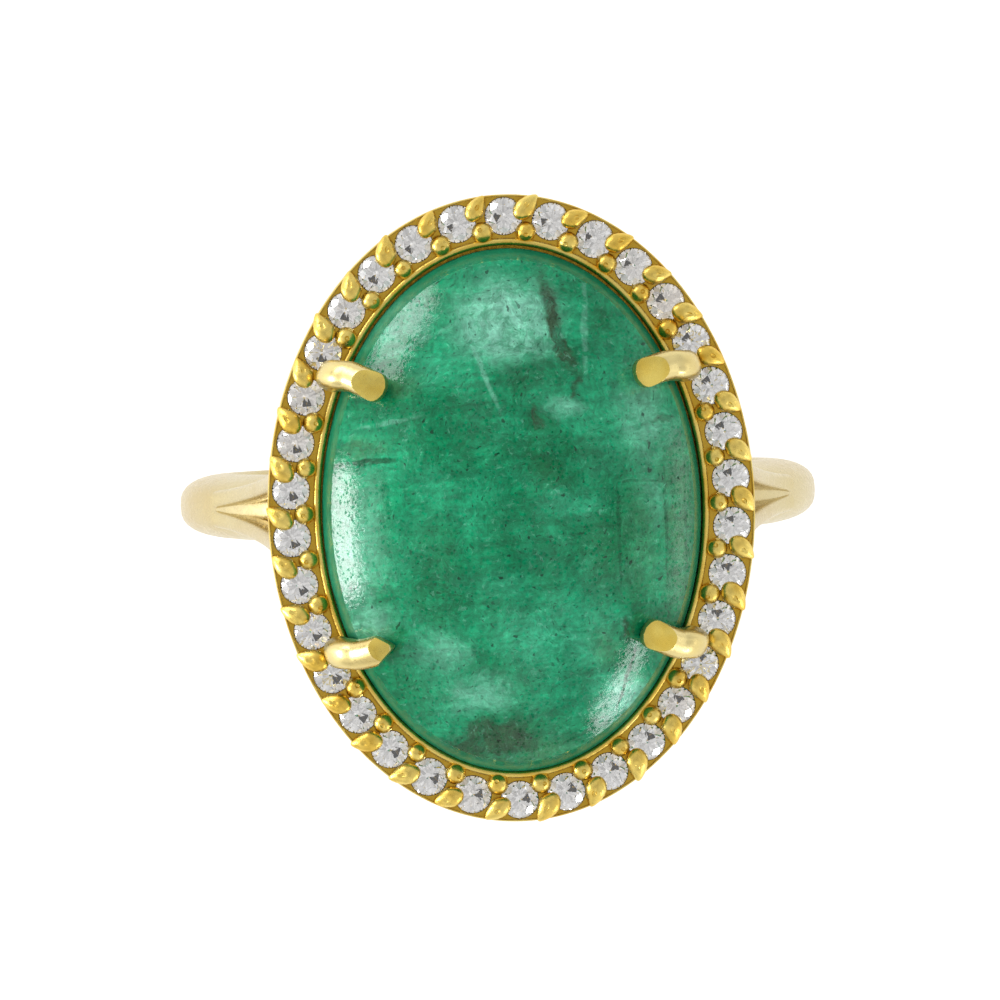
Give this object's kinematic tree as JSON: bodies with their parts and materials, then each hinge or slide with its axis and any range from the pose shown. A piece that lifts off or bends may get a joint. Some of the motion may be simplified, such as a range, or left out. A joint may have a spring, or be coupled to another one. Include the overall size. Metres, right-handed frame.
{
  "type": "cocktail ring",
  "caption": "Gold finger ring with a large oval cabochon in claws, set in an oval halo of small brilliants on a forked-shoulder shank.",
  "frame": {"origin": "middle of the finger hole, on its axis", "axes": "+Y along the finger, +Z from the finger towards the stone, +X across the finger"},
  "size_m": [0.022, 0.0208, 0.0277],
  "materials": {
    "gold_band": "polished yellow gold",
    "gold_halo": "bright-cut yellow gold",
    "gold_claw": "satin-polished yellow gold",
    "emerald": "polished translucent green stone",
    "diamond": "brilliant-cut clear stone"
  },
  "bodies": {
    "root": {"shank": "gold_band", "base_rail": "gold_band", "gallery_strut_back_right": "gold_band", "gallery_strut_front_right": "gold_band", "gallery_strut_front_left": "gold_band", "gallery_strut_back_left": "gold_band", "shoulder_bar_back_right": "gold_band", "shoulder_bar_front_right": "gold_band", "shoulder_bar_front_left": "gold_band", "shoulder_bar_back_left": "gold_band", "stone_collet": "gold_halo", "halo_plate": "gold_halo", "outer_prongs": "gold_halo", "inner_beads": "gold_halo", "claw_back_right": "gold_claw", "claw_front_right": "gold_claw", "claw_front_left": "gold_claw", "claw_back_left": "gold_claw", "emerald_cabochon": "emerald", "halo_diamond_01": "diamond", "halo_diamond_02": "diamond", "halo_diamond_03": "diamond", "halo_diamond_04": "diamond", "halo_diamond_05": "diamond", "halo_diamond_06": "diamond", "halo_diamond_07": "diamond", "halo_diamond_08": "diamond", "halo_diamond_09": "diamond", "halo_diamond_10": "diamond", "halo_diamond_11": "diamond", "halo_diamond_12": "diamond", "halo_diamond_13": "diamond", "halo_diamond_14": "diamond", "halo_diamond_15": "diamond", "halo_diamond_16": "diamond", "halo_diamond_17": "diamond", "halo_diamond_18": "diamond", "halo_diamond_19": "diamond", "halo_diamond_20": "diamond", "halo_diamond_21": "diamond", "halo_diamond_22": "diamond", "halo_diamond_23": "diamond", "halo_diamond_24": "diamond", "halo_diamond_25": "diamond", "halo_diamond_26": "diamond", "halo_diamond_27": "diamond", "halo_diamond_28": "diamond", "halo_diamond_29": "diamond", "halo_diamond_30": "diamond", "halo_diamond_31": "diamond", "halo_diamond_32": "diamond", "halo_diamond_33": "diamond", "halo_diamond_34": "diamond"}
  },
  "joints": []
}
